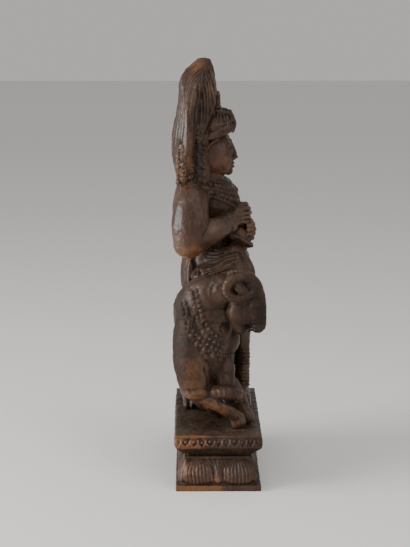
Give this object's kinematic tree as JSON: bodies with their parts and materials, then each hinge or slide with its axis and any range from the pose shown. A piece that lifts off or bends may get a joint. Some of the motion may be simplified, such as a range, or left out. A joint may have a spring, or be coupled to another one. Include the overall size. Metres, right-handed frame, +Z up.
{
  "type": "two-headed deity statuette",
  "caption": "Carved wooden figure of a deity with crowned heads and a flame aureole, seated on a kneeling ram over a lotus plinth, all cut from one block.",
  "frame": {"origin": "middle of the plinth's flat underside", "axes": "+Z up, -Y the way the two faces look, -X the end where the ram's head and chest are"},
  "size_m": [0.2014, 0.091, 0.41],
  "materials": {
    "wood": "dark brown carved wood, rubbed to a soft gloss on the high places, with worn orange-brown patches and grey dirt in the hollows"
  },
  "bodies": {
    "root": {"statuette": "wood"}
  },
  "joints": []
}
